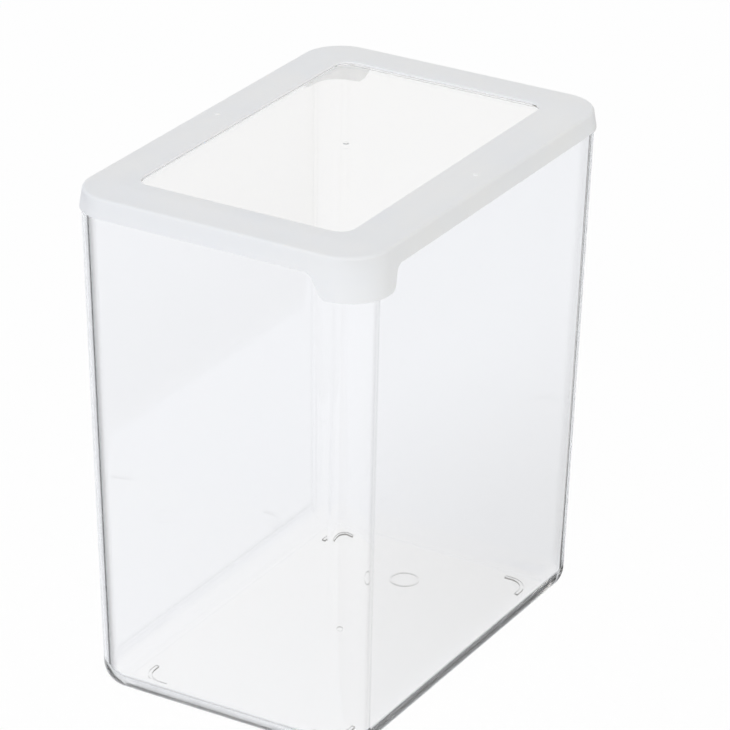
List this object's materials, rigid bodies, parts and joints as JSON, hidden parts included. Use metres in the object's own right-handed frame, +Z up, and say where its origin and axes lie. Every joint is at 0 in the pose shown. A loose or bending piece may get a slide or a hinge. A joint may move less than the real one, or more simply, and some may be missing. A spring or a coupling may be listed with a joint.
{
  "type": "airtight storage container",
  "caption": "Tall clear rectangular food keeper with drafted walls and rounded corners; its lift-off lid is a clear pane in a soft white frame with two corner pull tabs and a sealing ring.",
  "frame": {"origin": "centre of the footprint, on the surface that the container stands on", "axes": "+Z up, X across the short side, Y along the long side; the pull tabs are on the corners at (+X, -Y) and (-X, +Y)"},
  "size_m": [0.1418, 0.2042, 0.2267],
  "materials": {
    "clear_body": "clear rigid plastic, polished",
    "clear_pane": "clear rigid plastic, polished",
    "soft_white": "soft matt elastomer, fine grain",
    "seal": "translucent white silicone"
  },
  "bodies": {
    "container": {"container_body": "clear_body"},
    "lid": {"lid_window": "clear_pane", "lid_frame": "soft_white", "lid_seal": "seal"}
  },
  "joints": [
    {"name": "lid_lift", "type": "slide", "parent": "container", "child": "lid", "axis": [0, 0, 1], "range_m": [0, 0.08]}
  ]
}
